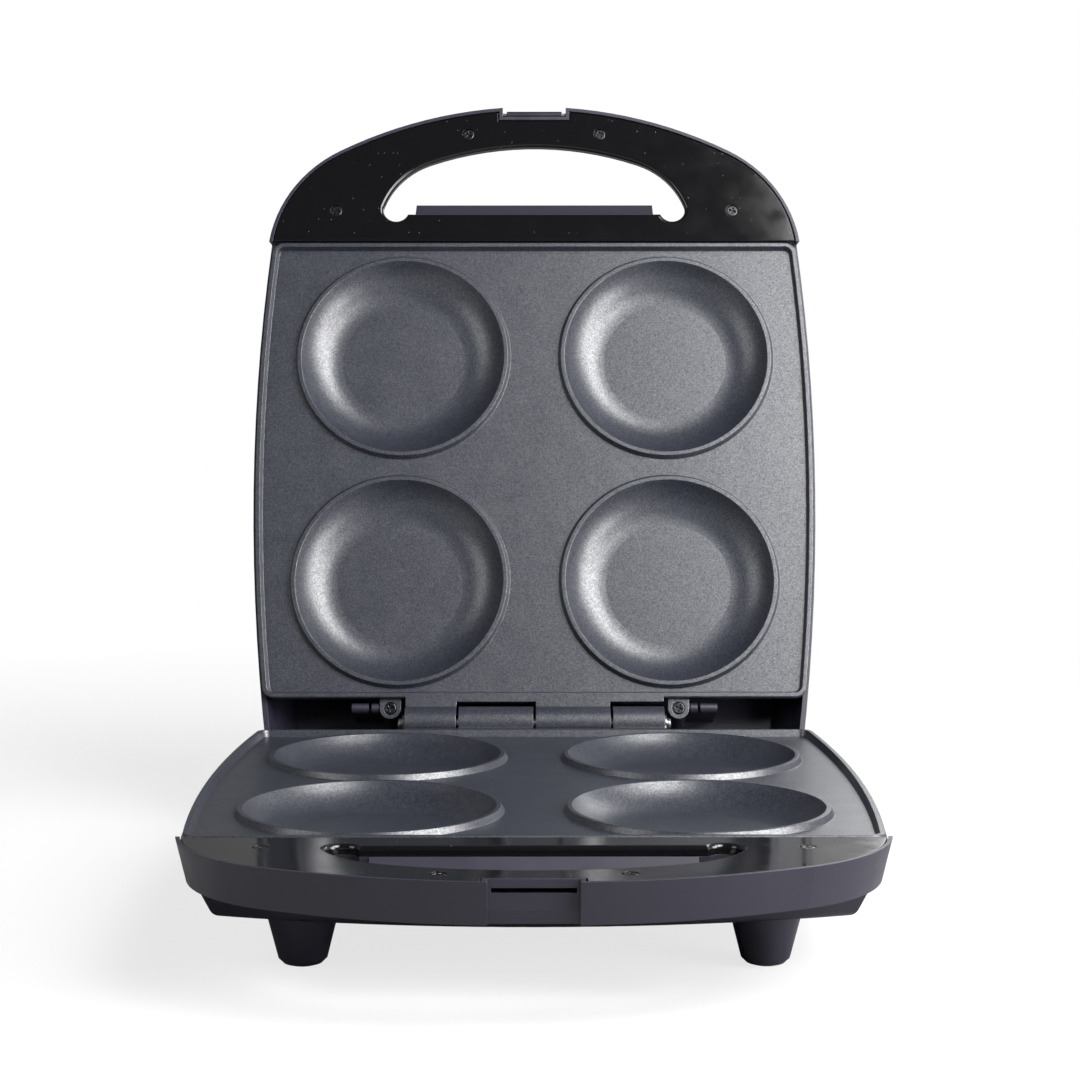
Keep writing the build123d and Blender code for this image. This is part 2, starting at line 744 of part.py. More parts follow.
# Base casing with its feet, the cord hole and the latch slot
with BuildPart() as base_shell:
    add(casing(base_back, 0))
    foot_base_z = pad_proud - foot_drop
    for x, y in foot_spots:
        with BuildSketch(Plane(origin=(x, y, 0), x_dir=(1, 0, 0), z_dir=(0, -1, 0))):
            with BuildLine():
                Polyline(
                    (0, foot_base_z),
                    (foot_bottom_radius - foot_edge, foot_base_z),
                    (foot_bottom_radius, foot_base_z + foot_edge),
                    (foot_top_radius, foot_root - casing_depth),
                    (0, foot_root - casing_depth),
                    close=True,
                )
            make_face()
        revolve(axis=Axis((x, y, 0), (0, 0, 1)))
    with BuildSketch(Plane.XY.offset(foot_base_z)):
        with Locations(foot_spots):
            Circle(pad_radius)
    extrude(amount=pad_thick - pad_proud, mode=Mode.SUBTRACT)
    # The rear wall is low behind the hinge, so that the knuckles can stand over it
    with BuildSketch(Plane.XY.offset(-flange_thick)):
        Rectangle(2 * (knuckle_end + clip_gap + wall), 2 * hinge_back)
    extrude(amount=flange_thick - hinge_wall_drop, mode=Mode.SUBTRACT)
    with BuildSketch(Plane.XY.offset(-flange_thick)):
        Rectangle(2 * (ear_x + ear_radius + seat_clear), 2 * hinge_back)
    extrude(amount=flange_thick + ear_under_z, mode=Mode.SUBTRACT)
    # Bosses under the plate's ears, blended into the rear wall
    with BuildSketch(Plane.XY.offset(ear_under_z)):
        with Locations(ear_spots):
            Circle(boss_radius)
    extrude(amount=-ear_boss_height)
    with BuildSketch(Plane.XY.offset(ear_under_z)):
        with Locations(ear_spots):
            Circle(screw_radius + pilot_play)
    extrude(amount=-screw_length - pilot_spare, mode=Mode.SUBTRACT)
    # Cord hole and the two bosses of the cord clamp
    with BuildSketch(Plane(origin=(gland_x, -base_back, -gland_drop), z_dir=(0, 1, 0))):
        Circle(gland_body_radius)
    extrude(amount=wall, mode=Mode.SUBTRACT)
    cord_clamp_z = gland_bore - gland_drop
    with BuildSketch(Plane.XY.offset(casing_floor_z)):
        with Locations(cord_clamp_spots):
            Circle(cord_boss_radius)
    extrude(amount=cord_clamp_z - casing_floor_z)
    with BuildSketch(Plane.XY.offset(cord_clamp_z)):
        with Locations(cord_clamp_spots):
            Circle(small_screw_radius + pilot_play)
    extrude(amount=-small_screw_length - pilot_spare, mode=Mode.SUBTRACT)
    # Slot in the notch wall that the latch hooks into
    with BuildSketch(Plane.XY.offset(-slot_top)):
        with Locations((0, notch_wall_y)):
            Rectangle(latch_width + 2 * slot_margin, 2 * wall)
    extrude(amount=-slot_height, mode=Mode.SUBTRACT)

# Lid casing with the hood over the hinge, stops, lens holes and latch pin holes
with BuildPart() as lid_shell:
    add(casing(hood_back, hood_run))
    # Lips at the foot of the hood that meet the base's rear wall when the lid is open
    for side in (-1, 1):
        with BuildSketch(Plane.XY.offset(axis_z + hood_lip)):
            with Locations((side * (stop_from + stop_to) / 2, -hood_back)):
                Rectangle(stop_to - stop_from, wall, align=(Align.CENTER, Align.MIN))
        extrude(amount=-axis_z - hood_lip - flange_thick)
    # Bosses under the plate's ears, and the ribs and rolled stubs beside them
    with BuildSketch(Plane.XY.offset(ear_under_z)):
        with Locations(ear_spots):
            Circle(boss_radius)
    extrude(amount=casing_floor_z - ear_under_z)
    for side in (-1, 1):
        with BuildSketch(Plane.YZ.offset(side * stub_to)):
            with Locations((-stub_y, -stub_z)):
                Circle(stub_radius)
        extrude(amount=-side * (stub_to - stub_split - stub_gap))
        with BuildSketch(Plane.YZ.offset(side * stub_split)):
            with Locations((-stub_y, -stub_z)):
                Circle(stub_radius)
        extrude(amount=-side * (stub_split - stub_from))
        with BuildSketch(Plane.YZ.offset(side * stub_to)):
            with Locations((-stub_y, casing_floor_z)):
                Rectangle(hood_rib_thick, stub_rib_height, align=(Align.CENTER, Align.MIN))
        extrude(amount=-side * (stub_to - ear_x))
    with BuildSketch(Plane.XY.offset(ear_under_z)):
        with Locations(ear_spots):
            Circle(screw_radius + pilot_play)
    extrude(amount=-screw_length - pilot_spare, mode=Mode.SUBTRACT)
    # Low stiffening ribs on the floor of the hood
    with BuildSketch(Plane.XY.offset(casing_floor_z)):
        with GridLocations(hood_rib_spacing, 0, 6, 1):
            with Locations((0, -hinge_back / 2)):
                Rectangle(hood_rib_thick, hinge_back)
    extrude(amount=hood_rib_height)
    # Holes for the two lenses
    with BuildSketch(Plane.XY.offset(-casing_depth)):
        with Locations(lens_spots):
            Circle(lens_radius)
    extrude(amount=wall, mode=Mode.SUBTRACT)
    # Holes for the latch pin in the two cheeks of the notch
    with BuildSketch(Plane.YZ.offset(-notch_half - latch_pin_hold)):
        with Locations((pivot_y, -latch_pivot_drop)):
            Circle(latch_pin_radius)
    extrude(amount=2 * (notch_half + latch_pin_hold), mode=Mode.SUBTRACT)

# Latch, folded back along the outside of the lid's handle
hook_z = -latch_pivot_drop - (latch_pivot_drop + mating_gap + slot_top + slot_height / 2)
with BuildPart() as latch_flap:
    with BuildSketch(Plane.YZ.offset(-latch_width / 2)):
        with Locations((pivot_y, -latch_pivot_drop)):
            Circle(latch_barrel_radius)
            Rectangle(latch_thick, latch_length, align=(Align.CENTER, Align.MAX))
        with Locations((pivot_y, hook_z)):
            Rectangle(latch_thick / 2 + hook_reach, hook_thick, align=(Align.MIN, Align.CENTER))
    extrude(amount=latch_width)
    latch_tip = latch_flap.faces().sort_by(Axis.Z)[0].edges().filter_by(Axis.X)
    fillet(latch_tip, latch_edge)
    with BuildSketch(Plane.YZ.offset(-latch_width / 2)):
        with Locations((pivot_y, -latch_pivot_drop)):
            Circle(latch_pin_radius + pin_play)
    extrude(amount=latch_width, mode=Mode.SUBTRACT)

with BuildPart() as latch_rod:
    with BuildSketch(Plane.YZ.offset(-notch_half - latch_pin_hold)):
        with Locations((pivot_y, -latch_pivot_drop)):
            Circle(latch_pin_radius)
    extrude(amount=2 * (notch_half + latch_pin_hold))

# Hinge pin through all four knuckles, held by a clip at each end
pin_half = knuckle_end + pin_overhang
with BuildPart() as hinge_rod:
    with BuildSketch(Plane.YZ.offset(-pin_half)):
        with Locations((-hinge_back, axis_z)):
            Circle(pin_radius)
    extrude(amount=2 * pin_half)
    chamfer(hinge_rod.edges().group_by(Axis.X)[0], rim_edge)
    chamfer(hinge_rod.edges().group_by(Axis.X)[-1], rim_edge)

with BuildPart() as rod_clips:
    for side in (-1, 1):
        with BuildSketch(Plane.YZ.offset(side * (knuckle_end + clip_gap))):
            with Locations((-hinge_back, axis_z)):
                Circle(clip_radius)
                Circle(pin_radius, mode=Mode.SUBTRACT)
                Rectangle(
                    2 * clip_radius, pin_radius, align=(Align.MIN, Align.CENTER), mode=Mode.SUBTRACT
                )
        extrude(amount=side * clip_thick)

# Thermal fuse in its sleeve beside the base thermostat, under a small clip
fuse_z = floor_z - fuse_radius
with BuildPart() as fuse_sleeve:
    with BuildSketch(Plane(origin=(0, fuse_y - fuse_length / 2, fuse_z), z_dir=(0, 1, 0))):
        Circle(fuse_radius)
    extrude(amount=fuse_length)
    with BuildSketch(
        Plane(origin=(0, fuse_y - fuse_length / 2 - fuse_lead_length, fuse_z), z_dir=(0, 1, 0))
    ):
        Circle(fuse_lead_radius)
    extrude(amount=fuse_length + fuse_lead_length)

with BuildPart() as fuse_saddle:
    with BuildSketch(
        Plane(origin=(0, fuse_y + fuse_clip_width / 2, floor_z), x_dir=(1, 0, 0), z_dir=(0, -1, 0))
    ):
        with Locations((0, -fuse_radius)):
            Circle(fuse_radius + fuse_clip_thick)
        Rectangle(
            2 * (fuse_radius + fuse_clip_foot), fuse_clip_thick, align=(Align.CENTER, Align.MAX)
        )
        with Locations((0, -fuse_radius)):
            Circle(fuse_radius, mode=Mode.SUBTRACT)
        Rectangle(2 * fuse_radius, fuse_radius, align=(Align.CENTER, Align.MAX), mode=Mode.SUBTRACT)
        Rectangle(
            4 * fuse_clip_foot, fuse_clip_foot, align=(Align.CENTER, Align.MIN), mode=Mode.SUBTRACT
        )
    extrude(amount=fuse_clip_width)

# Cord entry: bush in the rear wall, clamp over the lead, block for its three wires
gland_plane = Plane(origin=(gland_x, -base_back - gland_flange_thick, -gland_drop), z_dir=(0, 1, 0))
with BuildPart() as bush:
    with BuildSketch(gland_plane):
        Circle(gland_flange_radius)
    extrude(amount=gland_flange_thick)
    with BuildSketch(gland_plane):
        Circle(gland_body_radius)
    extrude(amount=gland_flange_thick + wall)
    with BuildSketch(gland_plane.offset(gland_flange_thick + wall)):
        Circle(gland_inner_radius)
    extrude(amount=gland_inner_length)
    with BuildSketch(gland_plane):
        Circle(gland_bore)
    extrude(amount=gland_flange_thick + wall + gland_inner_length, mode=Mode.SUBTRACT)

with BuildPart() as clamp_bar:
    with BuildSketch(Plane.XY.offset(cord_clamp_z)):
        with Locations((gland_x, cord_clamp_y)):
            SlotCenterToCenter(2 * cord_clamp_half_span, cord_clamp_width)
        with Locations(cord_clamp_spots):
            Circle(small_screw_radius + screw_play, mode=Mode.SUBTRACT)
    extrude(amount=cord_clamp_thick)

with BuildPart() as connector:
    with BuildSketch(Plane.XY.offset(casing_floor_z)):
        with Locations((terminal_block_x, terminal_block_y)):
            Rectangle(terminal_block_length, terminal_block_width)
    extrude(amount=terminal_block_height)
    with BuildSketch(
        Plane(
            origin=(terminal_block_x, terminal_block_y - terminal_block_width / 2,
                    casing_floor_z + terminal_block_height / 2),
            x_dir=(-1, 0, 0), z_dir=(0, 1, 0),
        )
    ):
        with GridLocations(terminal_block_length / terminal_ways, 0, terminal_ways, 1):
            Circle(terminal_way_radius)
    extrude(amount=terminal_block_width, mode=Mode.SUBTRACT)

# Lenses in the lid, and the neon lamps that lie behind them
with BuildPart() as lens:
    with BuildSketch(Plane.XY.offset(casing_floor_z)):
        Circle(lens_flange_radius)
    extrude(amount=lens_flange_thick)
    with BuildSketch(Plane.XY.offset(casing_floor_z)):
        Circle(lens_radius)
    extrude(amount=-wall - lens_dome)
    chamfer(lens.faces().sort_by(Axis.Z)[0].edges(), lens_edge)

lamp_z = casing_floor_z + lens_flange_thick + lamp_gap + lamp_radius
with BuildPart() as lamps:
    for x, y in lens_spots:
        with BuildSketch(Plane(origin=(x, y - lamp_length / 2, lamp_z), z_dir=(0, 1, 0))):
            Circle(lamp_radius)
        extrude(amount=lamp_length)

with BuildPart() as pads:
    with BuildSketch(Plane.XY.offset(-foot_drop)):
        with Locations(foot_spots):
            Circle(pad_radius)
    extrude(amount=pad_thick)

# Every node, with the half that it stands in
cover_screws = stand(case_screw, cover_screw_spots, cover_top_z - screw_recess)
plate_screws = stand(case_screw, ear_spots, -ear_drop - ear_recess)
cord_screws = stand(small_screw, cord_clamp_spots, cord_clamp_z + cord_clamp_thick)
nodes = [
    ("base_shell", base_half, base_shell.part),
    ("base_handle_cover", base_half, cover_moulding),
    ("base_cup_plate", base_half, plate_casting),
    ("base_cover_screws", base_half, cover_screws),
    ("base_plate_screws", base_half, plate_screws),
    ("base_heater", base_half, rod_bent),
    ("base_heater_clamps", base_half, straps_pressed),
    ("base_reflector", base_half, tray_pressed),
    ("base_thermostat", base_half, thermostat_disc),
    ("thermal_fuse", base_half, fuse_sleeve.part),
    ("fuse_clip", base_half, fuse_saddle.part),
    ("cord_gland", base_half, bush.part),
    ("cord_clamp", base_half, clamp_bar.part),
    ("cord_clamp_screws", base_half, cord_screws),
    ("terminal_block", base_half, connector.part),
    ("foot_pads", base_half, pads.part),
    ("hinge_pin", base_half, hinge_rod.part),
    ("hinge_pin_clips", base_half, rod_clips.part),
    ("lid_shell", lid_half, lid_shell.part),
    ("lid_handle_cover", lid_half, cover_moulding),
    ("lid_cup_plate", lid_half, plate_casting),
    ("lid_cover_screws", lid_half, cover_screws),
    ("lid_plate_screws", lid_half, plate_screws),
    ("lid_heater", lid_half, rod_bent),
    ("lid_heater_clamps", lid_half, straps_pressed),
    ("lid_reflector", lid_half, tray_pressed),
    ("lid_thermostat", lid_half, thermostat_disc),
    ("power_lens", lid_half, stand(lens.part, lens_spots[:1], 0)),
    ("ready_lens", lid_half, stand(lens.part, lens_spots[1:], 0)),
    ("indicator_lamps", lid_half, lamps.part),
    ("latch", lid_half, latch_flap.part),
    ("latch_pin", lid_half, latch_rod.part),
]

os.makedirs("parts", exist_ok=True)
for node, half, piece in nodes:
    with BuildPart() as placed:
        add(piece.moved(half.location))
    placed.part.label = node
    export_step(placed.part, f"parts/{node}.step")
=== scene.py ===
"""Looks of an open arepa maker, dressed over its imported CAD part.

The frame holds every rigid piece. This script gives the pieces their finishes, makes the
screws again with their cross recesses, and sets up the light and the camera.
Lengths are in metres in the frame: +Z up, -Y towards the user, X across.
"""
import json
import logging
import math
from dataclasses import dataclass
from enum import Enum

import bpy
import numpy as np
from mathutils import Euler, Matrix, Vector


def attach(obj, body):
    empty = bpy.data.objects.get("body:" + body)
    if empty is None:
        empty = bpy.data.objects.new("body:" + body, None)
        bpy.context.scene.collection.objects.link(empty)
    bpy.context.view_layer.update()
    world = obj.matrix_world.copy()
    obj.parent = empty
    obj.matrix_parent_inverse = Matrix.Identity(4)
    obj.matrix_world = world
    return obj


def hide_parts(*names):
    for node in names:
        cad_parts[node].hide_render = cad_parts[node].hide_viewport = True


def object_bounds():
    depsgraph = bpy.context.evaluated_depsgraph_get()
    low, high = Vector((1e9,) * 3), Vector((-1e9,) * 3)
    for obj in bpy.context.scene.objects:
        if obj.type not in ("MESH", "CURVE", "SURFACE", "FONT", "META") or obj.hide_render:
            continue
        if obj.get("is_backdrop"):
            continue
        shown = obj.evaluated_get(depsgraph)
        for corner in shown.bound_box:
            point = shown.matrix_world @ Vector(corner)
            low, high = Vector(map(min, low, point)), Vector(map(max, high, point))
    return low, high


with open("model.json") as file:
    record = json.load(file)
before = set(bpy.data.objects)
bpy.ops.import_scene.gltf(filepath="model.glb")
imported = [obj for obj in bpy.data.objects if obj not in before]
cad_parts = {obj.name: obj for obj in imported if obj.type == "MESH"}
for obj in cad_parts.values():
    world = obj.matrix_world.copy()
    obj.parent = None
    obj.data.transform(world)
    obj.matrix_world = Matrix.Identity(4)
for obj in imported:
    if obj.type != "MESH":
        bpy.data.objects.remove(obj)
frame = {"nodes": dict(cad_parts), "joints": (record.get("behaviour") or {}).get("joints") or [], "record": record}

LOG = logging.getLogger("arepa_maker")
MM = 0.001
WHITE = (1.0, 1.0, 1.0, 1.0)
NOISE_LOW, NOISE_HIGH = 0.3, 0.7
Socket = bpy.types.NodeSocket
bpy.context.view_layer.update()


class Shader:
    """The node tree of one material or world, with helpers that add and join nodes."""

    def __init__(self, owner: bpy.types.ID) -> None:
        """Clears the owner's tree.

        Args:
            owner: The material or world whose nodes are to be made.
        """
        owner.use_nodes = True
        self.tree = owner.node_tree
        self.tree.nodes.clear()

    def add(self, kind: str, inputs: dict | None = None, **settings: object) -> bpy.types.Node:
        """Adds a node.

        Args:
            kind: Node type without the "ShaderNode" in front.
            inputs: Input name or index to a constant, or to an output socket to link from.
            settings: Properties of the node itself.

        Returns:
            The new node.
        """
        node = self.tree.nodes.new(f"ShaderNode{kind}")
        for key, value in settings.items():
            setattr(node, key, value)
        for key, value in (inputs or {}).items():
            if isinstance(value, Socket):
                self.tree.links.new(value, node.inputs[key])
            else:
                node.inputs[key].default_value = value
        return node

    def math(self, operation: str, first: float | Socket, second: float | Socket) -> Socket:
        """Adds a math node.

        Args:
            operation: Name of the operation, such as "MULTIPLY".
            first: Constant or socket.
            second: Constant or socket.

        Returns:
            The node's output.
        """
        return self.add("Math", {0: first, 1: second}, operation=operation).outputs[0]

    def mix(self, share: float | Socket, first: tuple | Socket, second: tuple | Socket) -> Socket:
        """Mixes two colours.

        Args:
            share: How much of the second colour, as a constant or a socket.
            first: Colour or socket at share 0.
            second: Colour or socket at share 1.

        Returns:
            The mixed colour.
        """
        node = self.add("Mix", {0: share, 6: first, 7: second}, data_type="RGBA")
        return node.outputs[2]

    def spread(
        self, value: Socket, low: float, high: float, to_low: float, to_high: float
    ) -> Socket:
        """Maps a value from one span to another, held at the ends.

        Args:
            value: Socket to map.
            low: Start of the span read.
            high: End of the span read.
            to_low: Result at low.
            to_high: Result at high.

        Returns:
            The mapped value's socket.
        """
        keys = {0: value, 1: low, 2: high, 3: to_low, 4: to_high}
        return self.add("MapRange", keys).outputs[0]

    def noise(self, place: Socket, grain: float, detail: float = 2.0) -> Socket:
        """Adds a noise whose patches are about one grain wide.

        Args:
            place: Coordinates in metres.
            grain: Width of a patch in metres.
            detail: Number of finer layers.

        Returns:
            The noise's value socket, from 0 to 1.
        """
        keys = {"Vector": place, "Scale": 1.0 / grain, "Detail": detail}
        return self.add("TexNoise", keys).outputs[0]

    def place(self) -> Socket:
        """Adds the coordinates that the finishes read.

        Returns:
            The object coordinates, in metres.
        """
        return self.add("TexCoord").outputs["Object"]

    def mirrored(self, path: bpy.types.Node) -> Socket:
        """Finds out whether a surface or world is seen in a reflection or through a lens.

        Args:
            path: The light path node.

        Returns:
            A socket that is 1 for such rays and 0 for all others.
        """
        rays = path.outputs["Is Glossy Ray"], path.outputs["Is Transmission Ray"]
        return self.math("MAXIMUM", *rays)


@dataclass(frozen=True)
class Edge:
    """Softening of sharp edges in the shading.

    Attributes:
        radius: Radius of the softened edge.
        samples: Samples taken around the edge.
    """

    radius: float = 0.25 * MM
    samples: int = 6


@dataclass(frozen=True)
class Finish:
    """What every finish has.

    Attributes:
        name: Name of the material.
        colour: Linear base colour.
        roughness: Mean roughness.
        metallic: 1 for bare metal.
        specular: Strength of the dielectric reflection, 0.5 being that of glass.
        grain: Width of the surface's grain.
        relief: Height of the grain.
        mottle: Share by which the grain changes the colour.
        roughness_spread: How far the roughness varies in patches.
        patch: Width of those patches.
        edge: Softening of the edges.
    """

    name: str
    colour: tuple[float, float, float]
    roughness: float
    metallic: float = 0.0
    specular: float = 0.5
    grain: float = 0.4 * MM
    relief: float = 0.01 * MM
    mottle: float = 0.1
    roughness_spread: float = 0.05
    patch: float = 12 * MM
    edge: Edge = Edge()

    def build(self) -> bpy.types.Material:
        """Makes the material.

        Returns:
            The material, with its whole node tree.
        """
        material = bpy.data.materials.new(self.name)
        material.diffuse_color = (*self.colour, 1.0)
        shader = Shader(material)
        place = shader.place()
        grain = shader.noise(place, self.grain)
        surface = shader.add("BsdfPrincipled")
        self.shade(shader, surface, place, grain)
        edge = shader.add("Bevel", {"Radius": self.edge.radius}, samples=self.edge.samples)
        keys = {"Distance": self.relief, "Height": grain, "Normal": edge.outputs[0]}
        bump = shader.add("Bump", {"Strength": 1.0, **keys})
        shader.tree.links.new(bump.outputs[0], surface.inputs["Normal"])
        shader.add("OutputMaterial", {"Surface": surface.outputs[0]})
        return material

    def shade(
        self, shader: Shader, surface: bpy.types.Node, place: Socket, grain: Socket
    ) -> None:
        """Sets colour and roughness.

        Args:
            shader: Tree to add to.
            surface: The surface node.
            place: Coordinates in metres.
            grain: Height of the grain.
        """
        links = shader.tree.links
        dark = (*(c * (1 - self.mottle) for c in self.colour), 1.0)
        light = (*(c * (1 + self.mottle) for c in self.colour), 1.0)
        links.new(shader.mix(grain, dark, light), surface.inputs["Base Color"])
        patches = shader.noise(place, self.patch)
        low, high = self.roughness - self.roughness_spread, self.roughness + self.roughness_spread
        rough = shader.spread(patches, NOISE_LOW, NOISE_HIGH, low, high)
        links.new(rough, surface.inputs["Roughness"])
        surface.inputs["Metallic"].default_value = self.metallic
        surface.inputs["Specular IOR Level"].default_value = self.specular


@dataclass(frozen=True)
class Coating(Finish):
    """Dark non-stick film with fine flakes, some paler and some shinier than the rest.

    Attributes:
        flake: Width of one flake cell.
        flake_share: Share of the cells that hold a bright flake.
        flake_colour: Linear colour of the flakes.
        index: Refractive index of the film with its flakes.
        dullest: Specular level of the cell that reflects least.
        brightest: Specular level of the cell that reflects most.
    """

    flake: float = 0.5 * MM
    flake_share: float = 0.5
    flake_colour: tuple[float, float, float] = (0.030, 0.033, 0.045)
    index: float = 1.9
    dullest: float = 0.24
    brightest: float = 0.54

    def shade(
        self, shader: Shader, surface: bpy.types.Node, place: Socket, grain: Socket
    ) -> None:
        """Sets colour, roughness and reflection, with a random tint and gloss for each cell.

        Args:
            shader: Tree to add to.
            surface: The surface node.
            place: Coordinates in metres.
            grain: Height of the grain.
        """
        super().shade(shader, surface, place, grain)
        cells = shader.add("TexVoronoi", {"Vector": place, "Scale": 1.0 / self.flake})
        lots = shader.add("SeparateColor", {0: cells.outputs["Color"]})
        flake = shader.spread(lots.outputs[0], 1 - self.flake_share, 1.0, 0.0, 1.0)
        base = surface.inputs["Base Color"].links[0].from_socket
        tinted = shader.mix(flake, base, (*self.flake_colour, 1.0))
        shader.tree.links.new(tinted, surface.inputs["Base Color"])
        level = shader.spread(lots.outputs[1], 0.0, 1.0, self.dullest, self.brightest)
        shader.tree.links.new(level, surface.inputs["Specular IOR Level"])
        surface.inputs["IOR"].default_value = self.index


@dataclass(frozen=True)
class GlossPlastic(Finish):
    """Polished plastic with moulding ripple and a little settled dust.

    Attributes:
        dust_cell: Width of the cells that may hold a dust speck.
        dust_share: Share of the cells that hold one.
        dust_size: Radius of a speck as a share of the cell.
        dust_colour: Linear colour of the dust.
        dust_roughness: Roughness of the dust.
    """

    dust_cell: float = 2.2 * MM
    dust_share: float = 0.3
    dust_size: float = 0.07
    dust_colour: tuple[float, float, float] = (0.22, 0.22, 0.23)
    dust_roughness: float = 0.8

    def shade(
        self, shader: Shader, surface: bpy.types.Node, place: Socket, grain: Socket
    ) -> None:
        """Sets colour and roughness, with specks that are paler and duller.

        Args:
            shader: Tree to add to.
            surface: The surface node.
            place: Coordinates in metres.
            grain: Height of the grain.
        """
        super().shade(shader, surface, place, grain)
        cells = shader.add("TexVoronoi", {"Vector": place, "Scale": 1.0 / self.dust_cell})
        lot = shader.add("SeparateColor", {0: cells.outputs["Color"]}).outputs[1]
        chosen = shader.math("GREATER_THAN", lot, 1 - self.dust_share)
        near = shader.math("LESS_THAN", cells.outputs["Distance"], self.dust_size)
        speck = shader.math("MULTIPLY", chosen, near)
        base = surface.inputs["Base Color"].links[0].from_socket
        rough = surface.inputs["Roughness"].links[0].from_socket
        dusty = shader.mix(speck, base, (*self.dust_colour, 1.0))
        shader.tree.links.new(dusty, surface.inputs["Base Color"])
        dull = shader.math("MULTIPLY", speck, self.dust_roughness)
        duller = shader.math("MAXIMUM", rough, dull)
        shader.tree.links.new(duller, surface.inputs["Roughness"])


@dataclass(frozen=True)
class Lens(Finish):
    """Clear tinted plastic.

    Attributes:
        clear: Share of the light that goes through.
    """

    clear: float = 0.6

    def shade(
        self, shader: Shader, surface: bpy.types.Node, place: Socket, grain: Socket
    ) -> None:
        """Sets colour, roughness and the light that comes through.

        Args:
            shader: Tree to add to.
            surface: The surface node.
            place: Coordinates in metres.
            grain: Height of the grain.
        """
        super().shade(shader, surface, place, grain)
        surface.inputs["Transmission Weight"].default_value = self.clear


class Slot(Enum):
    """Material slots of the record, each with its finish."""

    CASING = Finish("casing_plastic", (0.0165, 0.0145, 0.0260), 0.42, grain=0.35 * MM,
                    relief=0.006 * MM, mottle=0.06)
    COVER = GlossPlastic("cover_plastic", (0.004, 0.004, 0.0045), 0.09, grain=9 * MM,
                         relief=0.01 * MM, mottle=0.0, roughness_spread=0.03)
    COATING = Coating("nonstick_coating", (0.0125, 0.0142, 0.0225), 0.38, grain=0.5 * MM,
                      relief=0.005 * MM, mottle=0.3, roughness_spread=0.018,
                      edge=Edge(radius=0.45 * MM))
    SCREW = Finish("screw_black", (0.05, 0.05, 0.055), 0.3, metallic=1.0, mottle=0.2)
    STEEL = Finish("steel_bright", (0.52, 0.52, 0.54), 0.28, metallic=1.0, mottle=0.08)
    HEATER = Finish("heater_steel", (0.16, 0.15, 0.15), 0.45, metallic=1.0, mottle=0.2)
    REFLECTOR = Finish("reflector_metal", (0.7, 0.7, 0.72), 0.25, metallic=1.0, mottle=0.05)
    THERMOSTAT = Finish("thermostat_body", (0.06, 0.035, 0.02), 0.4)
    SLEEVE = Finish("fuse_sleeve", (0.6, 0.57, 0.48), 0.85, grain=0.5 * MM, relief=0.08 * MM)
    CONNECTOR = Finish("connector_plastic", (0.62, 0.61, 0.57), 0.5)
    BUSH = Finish("bush_rubber", (0.012, 0.012, 0.012), 0.65, mottle=0.1)
    CLAMP = Finish("clamp_plastic", (0.03, 0.03, 0.03), 0.5)
    PAD = Finish("pad_rubber", (0.018, 0.018, 0.018), 0.75, relief=0.02 * MM)
    RED_LENS = Lens("lens_red", (0.5, 0.03, 0.02), 0.12, mottle=0.02)
    GREEN_LENS = Lens("lens_green", (0.04, 0.35, 0.08), 0.12, mottle=0.02)
    LAMP = Lens("lamp_glass", (0.85, 0.8, 0.75), 0.05, mottle=0.02)
    LATCH = Finish("latch_plastic", (0.010, 0.009, 0.015), 0.40, grain=0.35 * MM,
                   relief=0.005 * MM, mottle=0.06)


class Wardrobe:
    """Gives each CAD node the finish that its slot names."""

    def __init__(self) -> None:
        """Makes every finish once."""
        self.by_slot = {slot.value.name: slot.value.build() for slot in Slot}

    def dress(self, nodes: dict[str, bpy.types.Object], subparts: list[dict]) -> None:
        """Puts the finishes on the nodes.

        Args:
            nodes: CAD nodes by name.
            subparts: The record's list of nodes with their slots.
        """
        for entry in subparts:
            mesh = nodes[entry["node"]].data
            mesh.materials.clear()
            mesh.materials.append(self.by_slot[entry["material_slot"]])
            LOG.info("%s wears %s", entry["node"], entry["material_slot"])


@dataclass(frozen=True)
class Half:
    """One half of the maker, base or lid, with its own axes.

    x runs along the hinge, y from the plate's hinge-side edge towards the handle and z out of
    the plate's cooking side.

    Attributes:
        body: CAD body that carries the half.
        opened: Degrees from lying flat, with the handle towards the user, to its place at rest.
        side: -1 where the half's own x runs against the frame's, else 1.
        hinge_back: How far the hinge axis lies behind the plate's edge.
        axis_rise: How far the hinge axis lies above the plane of the plate's rim.
    """

    body: str
    opened: float
    side: float
    hinge_back: float = 12.5 * MM
    axis_rise: float = 0.25 * MM

    def axes(self) -> np.ndarray:
        """Works out the half's directions.

        Returns:
            Its x, y and z directions in the frame, one in each row.
        """
        turn = math.radians(self.opened)
        along = np.array([0.0, -math.cos(turn), math.sin(turn)])
        across = np.array([self.side, 0.0, 0.0])
        return np.stack([across, along, np.cross(across, along)])

    def place(self, points: np.ndarray) -> np.ndarray:
        """Moves points from the half's own frame into the shared frame.

        The origin is the middle of the plate's hinge-side edge. It is found from the hinge axis
        by going hinge_back along the half's y and axis_rise against its z.

        Args:
            points: Array of rows of x, y and z.

        Returns:
            The moved points.
        """
        hinge = next(j for j in frame["joints"] if j["name"] == "lid_hinge")
        axes = self.axes()
        origin = np.array(hinge["pos_m"]) + self.hinge_back * axes[1] - self.axis_rise * axes[2]
        return origin + points @ axes


BASE_HALF = Half("base", 0.0, -1.0)
LID_HALF = Half("lid", 111.3, 1.0)


